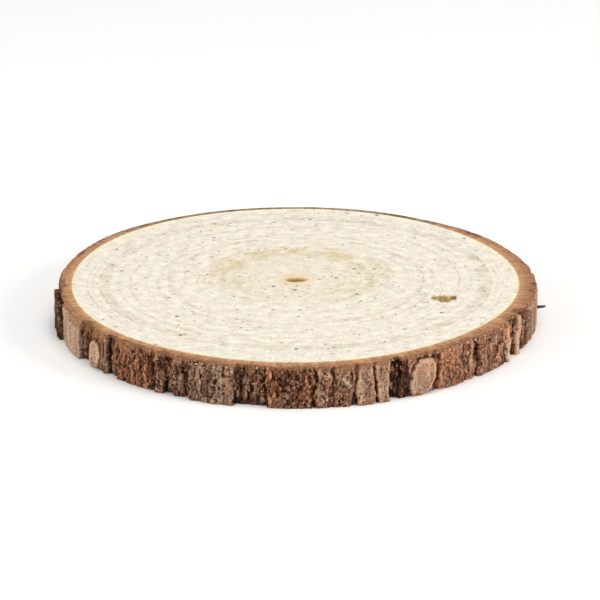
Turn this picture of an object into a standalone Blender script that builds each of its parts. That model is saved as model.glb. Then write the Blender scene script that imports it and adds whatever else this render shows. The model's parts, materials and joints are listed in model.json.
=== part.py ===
"""A slice of a trunk, sawn across the grain with its bark still on, lying flat on its underside.

The origin is at the middle of the underside. Bearings are in degrees about +Z: 0 is +X, 90 is +Y,
and 270 is the front. A level is a height as a share of the thickness.
"""

import math
import random

import bmesh
import bpy
from mathutils import Vector, noise

# The wood inside the bark, in metres
WOOD_CENTRE = (-0.00121, 0.00115)
WOOD_HALF_WIDTH = 0.0463
WOOD_HALF_DEPTH = 0.0470
THICKNESS = 0.0084

# The bark's thickness every 30 degrees from bearing 0, in metres: thick in front, thin behind
BARK_THICKNESS = (
    0.0038, 0.0031, 0.0016, 0.0013, 0.0015, 0.0024,
    0.0029, 0.0030, 0.0030, 0.0032, 0.0032, 0.0036,
)
SHOULDER = 0.9  # degrees over which a plate falls into the fissure beside it
ROUGHNESS = 0.00022
SWELL = 0.00025  # slow waves of the outline

# Bark plates of the front half: first and last bearing, metres proud, top level, and how deep the
# fissure after it cuts below the plain bark, in metres.
FRONT_PLATES = (
    (181.0, 196.0, 0.00090, 0.85, 0.0004),
    (197.0, 202.4, 0.00010, 1.00, 0.0002),
    (202.8, 209.6, 0.00030, 1.00, 0.0010),
    (213.8, 218.8, 0.00020, 0.70, 0.0003),
    (219.8, 221.4, 0.00005, 1.00, 0.0011),
    (224.4, 235.8, -0.00015, 1.00, 0.0004),
    (236.4, 239.4, 0.00020, 1.00, 0.0010),
    (241.6, 244.2, 0.00000, 1.00, 0.0005),
    (245.6, 257.0, 0.00035, 1.00, 0.0010),
    (263.8, 274.2, 0.00010, 1.00, 0.0004),
    (274.8, 278.4, 0.00035, 1.00, 0.0002),
    (278.8, 283.4, 0.00015, 1.00, 0.0005),
    (284.0, 288.0, 0.00035, 1.00, 0.0003),
    (288.4, 292.0, 0.00030, 1.00, 0.0014),
    (294.6, 296.4, -0.00020, 1.00, 0.0004),
    (297.0, 304.0, 0.00045, 0.86, 0.0006),
    (305.0, 312.0, 0.00010, 1.00, 0.0006),
    (314.0, 315.4, -0.00010, 1.00, 0.0006),
    (317.0, 328.2, 0.00025, 1.00, 0.0002),
    (328.5, 330.0, 0.00045, 1.00, 0.0010),
    (333.9, 335.9, 0.00040, 1.00, 0.0009),
    (338.2, 342.4, 0.00010, 1.00, 0.0003),
    (343.0, 351.6, 0.00020, 1.00, 0.0004),
)
# The plates behind follow a rule, drawn at random: degrees wide, degrees apart and metres proud.
REAR_SEED = 41
REAR_WIDTH = (2.6, 9.0)
REAR_GAP = (0.5, 1.6)
REAR_PROUD = (-0.00010, 0.00030)
REAR_FISSURE_SHARE = (0.06, 0.30)  # of the bark's thickness

# A splinter that stands out of the bark at the right
SPLINTER_BEARING = 354.0
SPLINTER_LEVEL = 0.5
SPLINTER_LENGTH = 0.0019
SPLINTER_HALF_WIDTH = 1.6  # degrees

# Two shallow hollows in the sawn top
PITH = (-0.0008, 0.0013)
PITH_RADIUS = 0.0013
PITH_DEPTH = 0.0006
KNOT = (0.0294, -0.0103)
KNOT_RADIUS = 0.0024
KNOT_DEPTH = 0.0005
HOLLOW_FLOOR = 0.5  # the floor's share of a hollow's radius
HOLLOW_SEGMENTS = 18

SEGMENTS = 360
SIDE_BANDS = 4

# Colours as linear RGB, with a roughness
SAWN_WOOD = ((0.86, 0.78, 0.64), 0.75)
BARK = ((0.16, 0.09, 0.055), 0.95)


def clear_scene():
    for obj in list(bpy.data.objects):
        bpy.data.objects.remove(obj)


def collection(name):
    made = bpy.data.collections.new(name)
    bpy.context.scene.collection.children.link(made)
    return made


def material(name, colour, roughness):
    made = bpy.data.materials.new(name)
    made.use_nodes = True
    shader = made.node_tree.nodes["Principled BSDF"]
    shader.inputs["Base Color"].default_value = (*colour, 1.0)
    shader.inputs["Roughness"].default_value = roughness
    shader.inputs["Metallic"].default_value = 0.0
    return made


def eased(share):
    share = min(max(share, 0.0), 1.0)
    return share * share * (3.0 - 2.0 * share)


def bark_thickness(bearing):
    """The plain thickness of the bark, eased from one listed value to the next."""
    place = (bearing % 360.0) / 360.0 * len(BARK_THICKNESS)
    first = int(place) % len(BARK_THICKNESS)
    share = eased(place - int(place))
    following = BARK_THICKNESS[(first + 1) % len(BARK_THICKNESS)]
    return BARK_THICKNESS[first] * (1.0 - share) + following * share


def all_plates():
    """The front plates, then the rear ones drawn from the last front plate round to the first."""
    draw = random.Random(REAR_SEED)
    plates = list(FRONT_PLATES)
    bearing = FRONT_PLATES[-1][1] + draw.uniform(*REAR_GAP)
    end = FRONT_PLATES[0][0] + 360.0
    while bearing < end - REAR_WIDTH[0]:
        last = min(bearing + draw.uniform(*REAR_WIDTH), end - REAR_GAP[0])
        fissure = draw.uniform(*REAR_FISSURE_SHARE) * bark_thickness(last)
        plates.append((bearing, last, draw.uniform(*REAR_PROUD), 1.0, fissure))
        bearing = last + draw.uniform(*REAR_GAP)
    return plates


def bark_surface(bearing, level, plates):
    """How far the bark's outside lies beyond the wood's edge."""
    thickness = bark_thickness(bearing)
    start = FRONT_PLATES[0][0]
    place = (bearing - start) % 360.0 + start
    before = plates[-1]
    for plate in plates:
        first, last, lift, top, _fissure = plate
        if place < first:
            return thickness - before[4]
        if place <= last:
            deep = before[4] if place - first < last - place else plate[4]
            edge = eased(min(place - first, last - place) / SHOULDER)
            broken = eased((level - top) / (1.0 - top)) if top < 1.0 else 0.0
            return thickness - deep + (lift + deep) * edge * (1.0 - broken)
        before = plate
    return thickness - before[4]


def splinter(bearing, level):
    off = abs(bearing - SPLINTER_BEARING) / SPLINTER_HALF_WIDTH
    height = abs(level - SPLINTER_LEVEL) * SIDE_BANDS
    return SPLINTER_LENGTH * max(0.0, 1.0 - off) * max(0.0, 1.0 - height)


def rim_radius(bearing, level, plates):
    angle = math.radians(bearing)
    across = math.hypot(WOOD_HALF_DEPTH * math.cos(angle), WOOD_HALF_WIDTH * math.sin(angle))
    wood = WOOD_HALF_WIDTH * WOOD_HALF_DEPTH / across
    swell = SWELL * (math.sin(3.0 * angle + 0.6) + 0.6 * math.sin(5.0 * angle + 2.1))
    place = Vector((6.0 * math.cos(angle), 6.0 * math.sin(angle), 2.5 * level))
    rough = ROUGHNESS * noise.noise(place * 2.0)
    return wood + swell + rough + bark_surface(bearing, level, plates) + splinter(bearing, level)


def slice_mesh():
    """A round blank, its side cut into level bands, and each of its points moved out to the bark."""
    bm = bmesh.new()
    bmesh.ops.create_cone(
        bm, cap_ends=True, segments=SEGMENTS,
        radius1=WOOD_HALF_WIDTH, radius2=WOOD_HALF_WIDTH, depth=THICKNESS,
    )
    uprights = [e for e in bm.edges if abs(e.verts[0].co.z - e.verts[1].co.z) > THICKNESS / 2]
    bmesh.ops.subdivide_edges(bm, edges=uprights, cuts=SIDE_BANDS - 1, use_grid_fill=True)
    plates = all_plates()
    for vert in bm.verts:
        bearing = math.degrees(math.atan2(vert.co.y, vert.co.x)) % 360.0
        level = vert.co.z / THICKNESS + 0.5
        radius = rim_radius(bearing, level, plates)
        angle = math.radians(bearing)
        vert.co = (
            WOOD_CENTRE[0] + radius * math.cos(angle),
            WOOD_CENTRE[1] + radius * math.sin(angle),
            level * THICKNESS,
        )
    bm.normal_update()
    for face in bm.faces:
        face.material_index = 0 if abs(face.normal.z) > 0.9 else 1
        face.smooth = face.material_index == 1
    mesh = bpy.data.meshes.new("wood_slice")
    bm.to_mesh(mesh)
    bm.free()
    return mesh


def hollow(name, centre, radius, depth, cutters):
    """A cutter with sloping walls, as wide as radius at the sawn face and depth below it."""
    floor = HOLLOW_FLOOR * radius
    above = 2.0 * depth
    bm = bmesh.new()
    bmesh.ops.create_cone(
        bm, cap_ends=True, segments=HOLLOW_SEGMENTS, depth=depth + above,
        radius1=floor, radius2=radius + (radius - floor) / depth * above,
    )
    mesh = bpy.data.meshes.new(name)
    bm.to_mesh(mesh)
    bm.free()
    obj = bpy.data.objects.new(name, mesh)
    obj.location = (centre[0], centre[1], THICKNESS + (above - depth) / 2.0)
    obj.hide_render = True
    obj.display_type = "WIRE"
    cutters.objects.link(obj)
    return obj


def wood_slice(parts, cutters):
    obj = bpy.data.objects.new("wood_slice", slice_mesh())
    obj.data.materials.append(material("sawn wood", *SAWN_WOOD))
    obj.data.materials.append(material("bark", *BARK))
    parts.objects.link(obj)
    hollows = (
        hollow("pith_hollow", PITH, PITH_RADIUS, PITH_DEPTH, cutters),
        hollow("torn_knot", KNOT, KNOT_RADIUS, KNOT_DEPTH, cutters),
    )
    for cutter in hollows:
        cut = obj.modifiers.new(cutter.name, "BOOLEAN")
        cut.operation = "DIFFERENCE"
        cut.solver = "EXACT"
        cut.object = cutter


def main():
    clear_scene()
    wood_slice(collection("wood slice"), collection("cutters"))


main()
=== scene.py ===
"""The looks of a sawn slice of softwood: its sawn wood, its bark, and what clings to the bark.

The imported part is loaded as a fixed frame, and each piece is made where that frame says. Bearings
are in degrees about +Z: 0 is +X, 90 is +Y, and 270 is the front. A level is a height as a share of
the thickness. A name that ends in _MM holds millimetres; other lengths are metres.
"""

import json
import math
import random
from collections import namedtuple
from functools import partial

import bmesh
import bpy
import numpy as np
from bpy.props import FloatProperty, FloatVectorProperty, IntProperty, PointerProperty
from bpy.types import Operator, Panel, PropertyGroup
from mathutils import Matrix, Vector

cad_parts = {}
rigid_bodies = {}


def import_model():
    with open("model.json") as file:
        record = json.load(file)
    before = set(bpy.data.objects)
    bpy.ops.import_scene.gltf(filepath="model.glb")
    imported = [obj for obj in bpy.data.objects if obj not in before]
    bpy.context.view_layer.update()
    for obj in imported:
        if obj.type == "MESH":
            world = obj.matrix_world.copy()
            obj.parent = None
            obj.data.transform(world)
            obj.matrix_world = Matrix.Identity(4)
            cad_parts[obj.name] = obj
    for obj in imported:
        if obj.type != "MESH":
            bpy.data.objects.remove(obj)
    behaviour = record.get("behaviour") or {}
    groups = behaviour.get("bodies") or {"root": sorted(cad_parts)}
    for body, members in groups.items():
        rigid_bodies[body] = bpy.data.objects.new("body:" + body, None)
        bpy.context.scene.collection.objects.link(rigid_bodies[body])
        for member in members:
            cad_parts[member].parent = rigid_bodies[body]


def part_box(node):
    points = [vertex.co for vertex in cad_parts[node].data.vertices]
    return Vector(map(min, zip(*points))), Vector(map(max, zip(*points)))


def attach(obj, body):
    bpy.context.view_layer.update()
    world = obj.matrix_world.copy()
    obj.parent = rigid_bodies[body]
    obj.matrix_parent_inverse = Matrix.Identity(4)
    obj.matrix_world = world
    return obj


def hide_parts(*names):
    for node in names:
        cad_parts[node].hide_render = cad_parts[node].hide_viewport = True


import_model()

bl_info = {
    "name": "Sawn Wood Slice",
    "version": (1, 0, 0),
    "blender": (4, 5, 0),
    "location": "3D View > Sidebar > Wood Slice",
    "description": "Builds a slice of softwood with its bark on",
    "category": "Add Mesh",
}

NODE = "wood_slice"
BODY = "root"
LOW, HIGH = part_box(NODE)
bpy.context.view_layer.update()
THICKNESS = HIGH[2] - LOW[2]
MM = 0.001

# The outline that the frame's solid has: the wood inside the bark, and the bark's plain thickness
# every 30 degrees from bearing 0.
WOOD_CENTRE = (-0.00121, 0.00115)
WOOD_HALF_WIDTH = 0.0463
WOOD_HALF_DEPTH = 0.0470
BARK_THICKNESS_MM = (3.8, 3.1, 1.6, 1.3, 1.5, 2.4, 2.9, 3.0, 3.0, 3.2, 3.2, 3.6)
SWELL_MM = 0.25
SWELL_WAVES = ((3.0, 0.6, 1.0), (5.0, 2.1, 0.6))  # waves round the slice, their turn, and their share
SPLINTER_BEARING = 354.0
SPLINTER_LEVEL = 0.5
SPLINTER_MM = 1.9
GIRTH_MM = 314.0  # round the middle of the bark
MM_PER_DEGREE = GIRTH_MM / 360.0

# One bark plate: first and last bearing, millimetres proud of the plain bark, the level that its top
# reaches, how deep the fissure after it cuts, how pale it is, how rusty, and 1 if its outline is round.
Plate = namedtuple("Plate", "first last proud top fissure tone rust round")
FRONT_PLATES = (
    Plate(181.0, 196.0, 0.90, 0.85, 0.4, 0.13, 0.30, 0),
    Plate(197.0, 202.4, 0.10, 1.00, 0.2, 0.71, 0.08, 0),
    Plate(202.8, 209.6, 0.30, 1.00, 1.0, 0.70, 0.12, 0),
    Plate(213.8, 218.8, 0.20, 0.70, 0.3, 0.74, 0.22, 1),
    Plate(219.8, 221.4, 0.05, 1.00, 1.1, 0.36, 0.15, 0),
    Plate(224.4, 235.8, -0.15, 1.00, 0.4, 0.42, 0.75, 0),
    Plate(236.4, 239.4, 0.20, 1.00, 1.0, 0.36, 0.45, 0),
    Plate(241.6, 244.2, 0.00, 1.00, 0.5, 0.40, 0.25, 0),
    Plate(245.6, 257.0, 0.35, 1.00, 1.0, 0.40, 0.10, 0),
    Plate(263.8, 274.2, 0.10, 1.00, 0.4, 0.38, 0.60, 0),
    Plate(274.8, 278.4, 0.35, 1.00, 0.2, 0.44, 0.30, 0),
    Plate(278.8, 283.4, 0.15, 1.00, 0.5, 0.39, 0.25, 0),
    Plate(284.0, 288.0, 0.35, 1.00, 0.3, 0.52, 0.25, 0),
    Plate(288.4, 292.0, 0.30, 1.00, 1.4, 0.60, 0.20, 0),
    Plate(294.6, 296.4, -0.20, 1.00, 0.4, 0.02, 0.50, 0),
    Plate(297.0, 304.0, 0.45, 0.86, 0.6, 0.74, 0.22, 1),
    Plate(305.0, 312.0, 0.10, 1.00, 0.4, 0.60, 0.60, 0),
    Plate(314.0, 315.4, -0.10, 1.00, 0.6, 0.70, 0.50, 0),
    Plate(317.0, 328.2, 0.25, 1.00, 0.2, 0.47, 0.50, 0),
    Plate(328.5, 330.0, 0.45, 1.00, 1.0, 0.82, 0.15, 0),
    Plate(333.9, 335.9, 0.40, 1.00, 0.9, 0.80, 0.15, 0),
    Plate(338.2, 342.4, 0.10, 1.00, 0.3, 0.30, 0.45, 0),
    Plate(343.0, 351.6, 0.20, 1.00, 0.4, 0.56, 0.15, 0),
)
# Where pale slivers curl out of the bark, and where the saw tore its outer flakes off furthest down
TORN_BEARINGS = (222.8, 241.2, 243.6, 262.0, 307.5, 310.5, 337.0)
TORN_LEFT = 210.0
# The plates behind follow a rule, drawn at random: degrees wide, degrees apart and millimetres proud.
REAR_SEED = 41
REAR_WIDTH = (2.6, 9.0)
REAR_GAP = (0.5, 1.6)
REAR_PROUD = (-0.10, 0.30)
REAR_FISSURE_SHARE = (0.06, 0.30)  # of the bark's thickness
REAR_TONES = (0.30, 0.40, 0.48, 0.56, 0.66, 0.80)

# How finely the bark is made: steps round it, up its side, and across its two sawn faces
BARK_ROUND = 1560
BARK_UP = 47
BARK_ACROSS_TOP = 11
BARK_ACROSS_BELOW = 4
TUCK_MM = -0.15  # how far the bark reaches in under the wood's edge
FULL_BARK_MM = 3.2  # the bark whose relief is full; thinner bark has less
UNBROKEN_MM = 9.0  # stands for the far end of a plate that reaches the top
EGG_POWER = 2.2  # 2 would make the round plates ellipses
GAP_TONE = 0.26
GAP_RUST = 0.45

# The saw crossed the wood 7 degrees off +X: the marks' cells to the metre, along them and across them
SAW_ALONG = (27.8, 3.4, 0.0)
SAW_ACROSS = (-108.0, 893.0, 0.0)

FLOOR_RADIUS = 0.55
FLOOR_GAP = 0.00002  # keeps the floor clear of the underside

MATHS = "ShaderNodeMath"
VECTOR = "ShaderNodeVectorMath"
RANGE = "ShaderNodeMapRange"
NOISE = "ShaderNodeTexNoise"
MIX = "ShaderNodeMix"
RAMP = "ShaderNodeValToRGB"
EASED = {"interpolation_type": "SMOOTHSTEP"}
BLENDED = {"data_type": "RGBA"}
TINTED = {"data_type": "RGBA", "blend_type": "MULTIPLY"}


def linear(code):
    """Linear RGB from an sRGB hex code."""
    shares = [int(code[i:i + 2], 16) / 255.0 for i in (0, 2, 4)]
    return tuple(s / 12.92 if s <= 0.04045 else ((s + 0.055) / 1.055) ** 2.4 for s in shares)


def colour(name, code):
    return FloatVectorProperty(
        name=name, description=f"{name} colour", subtype="COLOR", size=3, min=0.0, max=1.0,
        default=linear(code),
    )


def length(name, description, default):
    return FloatProperty(name=name, description=description, default=default, unit="LENGTH", precision=5)


class WoodSettings(PropertyGroup):
    ring_pitch: length("Ring pitch", "Usual width of one year's growth", 0.0026)
    ring_relief: length("Ring relief", "How far the saw leaves late wood standing", 0.00005)
    saw_relief: length("Saw relief", "Depth of the marks of the saw", 0.00004)
    pith: FloatVectorProperty(
        name="Pith", description="Where the pith is", size=3, unit="LENGTH", precision=5,
        default=(-0.0008, 0.0013, 0.0),
    )
    pith_radius: length("Pith radius", "Radius of the pith's hollow", 0.0017)
    pith_depth: length("Pith depth", "Depth of the pith's hollow", 0.0006)
    knot: FloatVectorProperty(
        name="Knot", description="Where the saw tore a small knot", size=3, unit="LENGTH",
        precision=5, default=(0.0294, -0.0103, 0.0),
    )
    knot_radius: length("Knot radius", "Radius of the torn knot", 0.0027)
    knot_depth: length("Knot depth", "Depth of the torn knot", 0.0005)
    spokes: IntProperty(name="Spokes", description="Steps round the wood", default=640, min=60)
    early: colour("Early wood", "E8E0D1")
    late: colour("Late wood", "BFAE95")
    stain: colour("Heart stain", "C9B57C")
    rim: colour("Newest wood", "ECE2C9")
    pith_colour: colour("Pith", "8C6B3F")
    knot_colour: colour("Torn knot", "94794A")
    speck: colour("Specks", "5F5242")


class BarkSettings(PropertyGroup):
    flake_step: length("Flake step", "Height of one layer of flakes", 0.00017)
    grain_relief: length("Grain relief", "Height of the fibres that run up the bark", 0.00006)
    chip: length("Edge chips", "How far the saw chipped the bark's edges", 0.00018)
    crumbs: IntProperty(
        name="Crumbs", description="Loose crumbs of bark in the fissures", default=1300, min=0,
    )
    fibres: IntProperty(
        name="Fibres", description="Torn fibres and pale slivers on the bark", default=380, min=0,
    )
    inner: colour("Inner bark", "B2845D")
    inner_deep: colour("Middle bark", "A37453")
    thin: colour("Thin bark", "917A5E")
    outer: colour("Outer bark", "82563C")
    # The fissures' own colour, which the painted shade in deep fissures also mixes towards
    fissure: colour("Fissure", "2A1C15")
    dark: colour("Dark plate", "53392B")
    grey: colour("Grey plate", "7F6553")
    tan: colour("Tan plate", "AB8D76")
    pale: colour("Pale plate", "D2B599")
    rust: colour("Rusty tint", "F2B996")
    fibre: colour("Torn fibre", "D9BF98")
    dead: colour("Dead wood", "6E625A")


class StageSettings(PropertyGroup):
    floor: colour("Floor", "F4F3F1")
    distance: length("Camera distance", "From the slice's middle", 0.575)
    elevation: FloatProperty(
        name="Camera elevation", description="Above the floor", default=math.radians(19.7),
        subtype="ANGLE", unit="ROTATION",
    )
    share: FloatProperty(
        name="Width share", description="The slice's share of the view's width", default=0.82,
        subtype="FACTOR", min=0.1, max=1.0,
    )


class SliceSettings(PropertyGroup):
    wood: PointerProperty(type=WoodSettings, name="Wood", description="The sawn wood")
    bark: PointerProperty(type=BarkSettings, name="Bark", description="The bark")
    stage: PointerProperty(type=StageSettings, name="Stage", description="Floor, lights and camera")


# ---- Nodes -------------------------------------------------------------------------------------


def add_node(tree, kind, links=(), operation=None, stops=(), **settings):
    """Adds one node with its operation, its settings, its ramp's stops, and what feeds its inputs.

    The links are in the inputs' order, or a dict by their names or numbers. Each is a value, a socket,
    or a node, which stands for its first output.
    """
    made = tree.nodes.new(kind)
    if operation:
        made.operation = operation
    for name, value in settings.items():
        setattr(made, name, value)
    for index, (place, shade) in enumerate(stops):
        elements = made.color_ramp.elements
        stop = elements[index] if index < 2 else elements.new(place)
        stop.position = place
        stop.color = (*shade, 1.0)
    fed = links if isinstance(links, dict) else dict(enumerate(links))
    for key, value in fed.items():
        sockets = [s for s in made.inputs if s.enabled and s.name == key]
        socket = made.inputs[key] if isinstance(key, int) else sockets[0]
        if isinstance(value, bpy.types.Node):
            value = next(s for s in value.outputs if s.enabled)
        if isinstance(value, bpy.types.NodeSocket):
            tree.links.new(value, socket)
        elif socket.type == "RGBA":
            socket.default_value = (*value[:3], 1.0)
        else:
            socket.default_value = value
    return made


def new_material(name):
    """An empty material, the call that adds nodes to it, and its object coordinates."""
    made = bpy.data.materials.new(name)
    made.use_nodes = True
    made.node_tree.nodes.clear()
    put = partial(add_node, made.node_tree)
    return made, put, put("ShaderNodeTexCoord").outputs["Object"]


def finish_material(put, surface):
    """The shader with these values or nodes on its sockets: what every material here ends in."""
    shader = put("ShaderNodeBsdfPrincipled", surface)
    put("ShaderNodeOutputMaterial", {"Surface": shader})


def new_modifier_tree(name, inputs):
    """A Geometry Nodes tree with these inputs, the call that adds nodes to it, and its inputs' sockets."""
    tree = bpy.data.node_groups.new(name, "GeometryNodeTree")
    tree.interface.new_socket(name="Geometry", in_out="INPUT", socket_type="NodeSocketGeometry")
    for label, kind in inputs.items():
        tree.interface.new_socket(name=label, in_out="INPUT", socket_type="NodeSocket" + kind)
    tree.interface.new_socket(name="Geometry", in_out="OUTPUT", socket_type="NodeSocketGeometry")
    put = partial(add_node, tree)
    return tree, put, put("NodeGroupInput").outputs


def finish_tree(put, geometry, material):
    """Real geometry with its material: what every tree here ends in."""
    real = put("GeometryNodeRealizeInstances", {"Geometry": geometry})
    dressed = put("GeometryNodeSetMaterial", {"Geometry": real, "Material": material})
    put("NodeGroupOutput", {"Geometry": dressed})


def run_tree(name, tree, values, base=None):
    """A plain mesh object of this name: what the tree makes from the base mesh with these input values."""
    base = base or bpy.data.meshes.new(name + "_base")
    holder = bpy.data.objects.new(name + "_holder", base)
    bpy.context.scene.collection.objects.link(holder)
    modifier = holder.modifiers.new(tree.name, "NODES")
    modifier.node_group = tree
    for item in tree.interface.items_tree:
        if item.in_out == "INPUT" and item.name in values:
            modifier[item.identifier] = values[item.name]
    graph = bpy.context.evaluated_depsgraph_get()
    mesh = bpy.data.meshes.new_from_object(holder.evaluated_get(graph), depsgraph=graph)
    holder.modifiers.remove(modifier)
    bpy.data.objects.remove(holder)
    mesh.name = name
    return show(name, mesh)


def show(name, mesh):
    made = bpy.data.objects.new(name, mesh)
    bpy.context.scene.collection.objects.link(made)
    return made


def stands_for_slice(piece):
    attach(piece, BODY)
    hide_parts(NODE)


# ---- Patterns of the wood, for its mesh and its material alike ----------------------------------


def flat_place(put, place):
    """The place with its height left out, so that both faces and the mesh share one pattern."""
    return put(VECTOR, [place, (1.0, 1.0, 0.0)], "MULTIPLY")


def patchy(put, place, scale, detail, span, **links):
    """Noise over the place, stretched from the span's first two numbers to its last two."""
    noise = put(NOISE, {"Vector": place, "Scale": scale, "Detail": detail, **links})
    return put(RANGE, [noise, *span])


def growth_rings(put, place, pith, pitch):
    """0 in the early wood, rising to each year's own strength, 1 at most, at its dark late edge."""
    drift = patchy(put, place, 42.0, 1.0, (0.0, 1.0, -0.0011, 0.0011))
    shake = patchy(put, place, 480.0, 1.0, (0.0, 1.0, -0.0004, 0.0004))
    distance = put(VECTOR, [place, pith], "DISTANCE")
    bent = put(MATHS, [distance, drift], "ADD")
    radius = put(MATHS, [bent, shake], "ADD")
    years = put(MATHS, [radius, pitch], "DIVIDE")
    luck = put(NOISE, {"W": years, "Scale": 0.8, "Detail": 0.0}, noise_dimensions="1D")
    uneven = put(MATHS, [luck, 1.5, years], "MULTIPLY_ADD")
    share = put(MATHS, [uneven], "FRACT")
    rise = put(RANGE, [share, 0.58, 0.88], **EASED)
    fall = put(RANGE, [share, 0.90, 1.0, 1.0, 0.0])
    year = put(MATHS, [uneven], "FLOOR")
    strength = put("ShaderNodeTexWhiteNoise", {"W": year}, noise_dimensions="1D")
    kept = put(RANGE, [strength, 0.0, 1.0, 0.20, 1.0])
    line = put(MATHS, [rise, fall], "MULTIPLY")
    return put(MATHS, [line, kept], "MULTIPLY")


def saw_marks(put, place):
    """Uneven stripes that the saw leaves straight across the wood, about a millimetre apart."""
    along = put(VECTOR, [place, SAW_ALONG], "DOT_PRODUCT")
    over = put(VECTOR, [place, SAW_ACROSS], "DOT_PRODUCT")
    stretched = put("ShaderNodeCombineXYZ", [along, over])
    return put(NOISE, {"Vector": stretched, "Scale": 1.0, "Detail": 2.0})


def pith_share(put, place, pith, radius):
    """1 in the middle of the pith, falling to 0 at its ragged edge. The pith is wider along X."""
    away = put(VECTOR, [place, pith], "SUBTRACT")
    squeezed = put(VECTOR, [away, (0.80, 1.25, 0.0)], "MULTIPLY")
    distance = put(VECTOR, [squeezed], "LENGTH")
    ragged = put(NOISE, {"Vector": place, "Scale": 1400.0, "Detail": 1.0})
    wander = put(MATHS, [ragged, 0.5, 0.75], "MULTIPLY_ADD")
    share = put(MATHS, [distance, radius], "DIVIDE")
    torn = put(MATHS, [share, wander], "MULTIPLY")
    return put(RANGE, [torn, 0.70, 1.25, 1.0, 0.0], **EASED)


def knot_share(put, place, knot, radius):
    """1 over the torn knot and 0 beyond it, and its own X and Y. It is flat behind, pointed in front."""
    away = put(VECTOR, [place, knot], "SUBTRACT")
    unit = put(VECTOR, {0: away, 3: put(MATHS, [1.0, radius], "DIVIDE")}, "SCALE")
    parts = put("ShaderNodeSeparateXYZ", [unit]).outputs
    taper = put(RANGE, [parts[1], -1.0, -0.1, 4.0, 1.0])
    aside, forward = (put(MATHS, [part], "ABSOLUTE") for part in parts[:2])
    across = put(MATHS, [aside, taper], "MULTIPLY")
    deep = put(MATHS, [forward, 0.12], "ADD")
    distance = put(MATHS, [across, deep], "MAXIMUM")
    ragged = put(NOISE, {"Vector": place, "Scale": 900.0, "Detail": 2.0})
    wander = put(MATHS, [ragged, 0.7, -0.35], "MULTIPLY_ADD")
    torn = put(MATHS, [distance, wander], "ADD")
    share = put(RANGE, [torn, 0.82, 1.02, 1.0, 0.0], **EASED)
    return share, parts


# ---- The outline --------------------------------------------------------------------------------


def smooth(share):
    share = np.clip(share, 0.0, 1.0)
    return share * share * (3.0 - 2.0 * share)


def bark_thickness(bearing):
    """The bark's plain thickness in millimetres, eased from one listed value to the next."""
    values = np.array(BARK_THICKNESS_MM)
    place = (bearing % 360.0) / 360.0 * len(values)
    first = np.floor(place).astype(int) % len(values)
    share = smooth(place - np.floor(place))
    return values[first] * (1.0 - share) + values[(first + 1) % len(values)] * share


def wood_edge(bearing):
    """The wood's radius in metres."""
    angle = np.radians(bearing)
    across = np.hypot(WOOD_HALF_DEPTH * np.cos(angle), WOOD_HALF_WIDTH * np.sin(angle))
    waves = sum(share * np.sin(count * angle + turn) for count, turn, share in SWELL_WAVES)
    return WOOD_HALF_WIDTH * WOOD_HALF_DEPTH / across + SWELL_MM * MM * waves


def all_plates():
    """The front plates, then the rear ones, drawn in the same order as the frame's solid has them."""
    draw = random.Random(REAR_SEED)
    look = random.Random(REAR_SEED + 1)
    plates = list(FRONT_PLATES)
    bearing = FRONT_PLATES[-1].last + draw.uniform(*REAR_GAP)
    end = FRONT_PLATES[0].first + 360.0
    while bearing < end - REAR_WIDTH[0]:
        last = min(bearing + draw.uniform(*REAR_WIDTH), end - REAR_GAP[0])
        fissure = draw.uniform(*REAR_FISSURE_SHARE) * float(bark_thickness(np.array(last)))
        proud = draw.uniform(*REAR_PROUD)
        tone = look.choice(REAR_TONES) + look.uniform(-0.05, 0.05)
        plates.append(Plate(bearing, last, proud, 1.0, fissure, tone, look.uniform(0.05, 0.55), 0))
        bearing = last + draw.uniform(*REAR_GAP)
    return plates


def ripple(girth, height, wide, tall, seed, octaves=3):
    """Noise from about -1 to 1 over the bark, which closes on itself. Its cells are wide by tall, in mm."""
    total = np.zeros(np.broadcast(girth, height).shape)
    size = 1.0
    for octave in range(octaves):
        cells = max(int(round(GIRTH_MM / wide * 2 ** octave)), 1)
        rows = 64
        table = np.random.default_rng(seed + octave).uniform(-1.0, 1.0, (cells, rows))
        across = girth / GIRTH_MM * cells
        up = height / tall * 2 ** octave + 7.3
        col, row = np.floor(across).astype(int), np.floor(up).astype(int)
        fx, fy = smooth(across - col), smooth(up - row)
        left, right = (
            table[side % cells, row % rows] * (1 - fy) + table[side % cells, (row + 1) % rows] * fy
            for side in (col, col + 1)
        )
        total += size * (left * (1 - fx) + right * fx)
        size *= 0.55
    return total


def terraces(field, rise):
    """The field as flat steps one apart, each climbed within this share of a step."""
    whole = np.floor(field)
    return whole + smooth((field - whole) / rise)


def scales(girth, height, wide, tall, seed):
    """A patchwork of scales, wide by tall in mm, which closes on itself.

    Gives how far each point is in from its scale's edge, where it lies across and up its scale, and
    two random numbers that its whole scale shares.
    """
    cells, rows = int(round(GIRTH_MM / wide)), 64
    across, up = np.broadcast_arrays(girth / GIRTH_MM * cells, height / tall + 9.0)
    col, row = np.floor(across).astype(int), np.floor(up).astype(int)
    table = np.random.default_rng(seed).uniform(0.0, 1.0, (cells, rows, 4))
    nearest = np.full(across.shape, 9.0)
    second = nearest.copy()
    kept = [np.zeros(across.shape) for _ in range(4)]
    for aside in (-1, 0, 1):
        for above in (-1, 0, 1):
            found = table[(col + aside) % cells, (row + above) % rows]
            off_across = across - (col + aside + 0.1 + 0.8 * found[..., 0])
            off_up = up - (row + above + 0.1 + 0.8 * found[..., 1])
            away = np.hypot(off_across, off_up)
            closer = away < nearest
            second = np.where(closer, nearest, np.minimum(second, away))
            nearest = np.where(closer, away, nearest)
            fresh = (off_across, off_up, found[..., 2], found[..., 3])
            kept = [np.where(closer, new, old) for new, old in zip(fresh, kept)]
    return second - nearest, *kept


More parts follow.
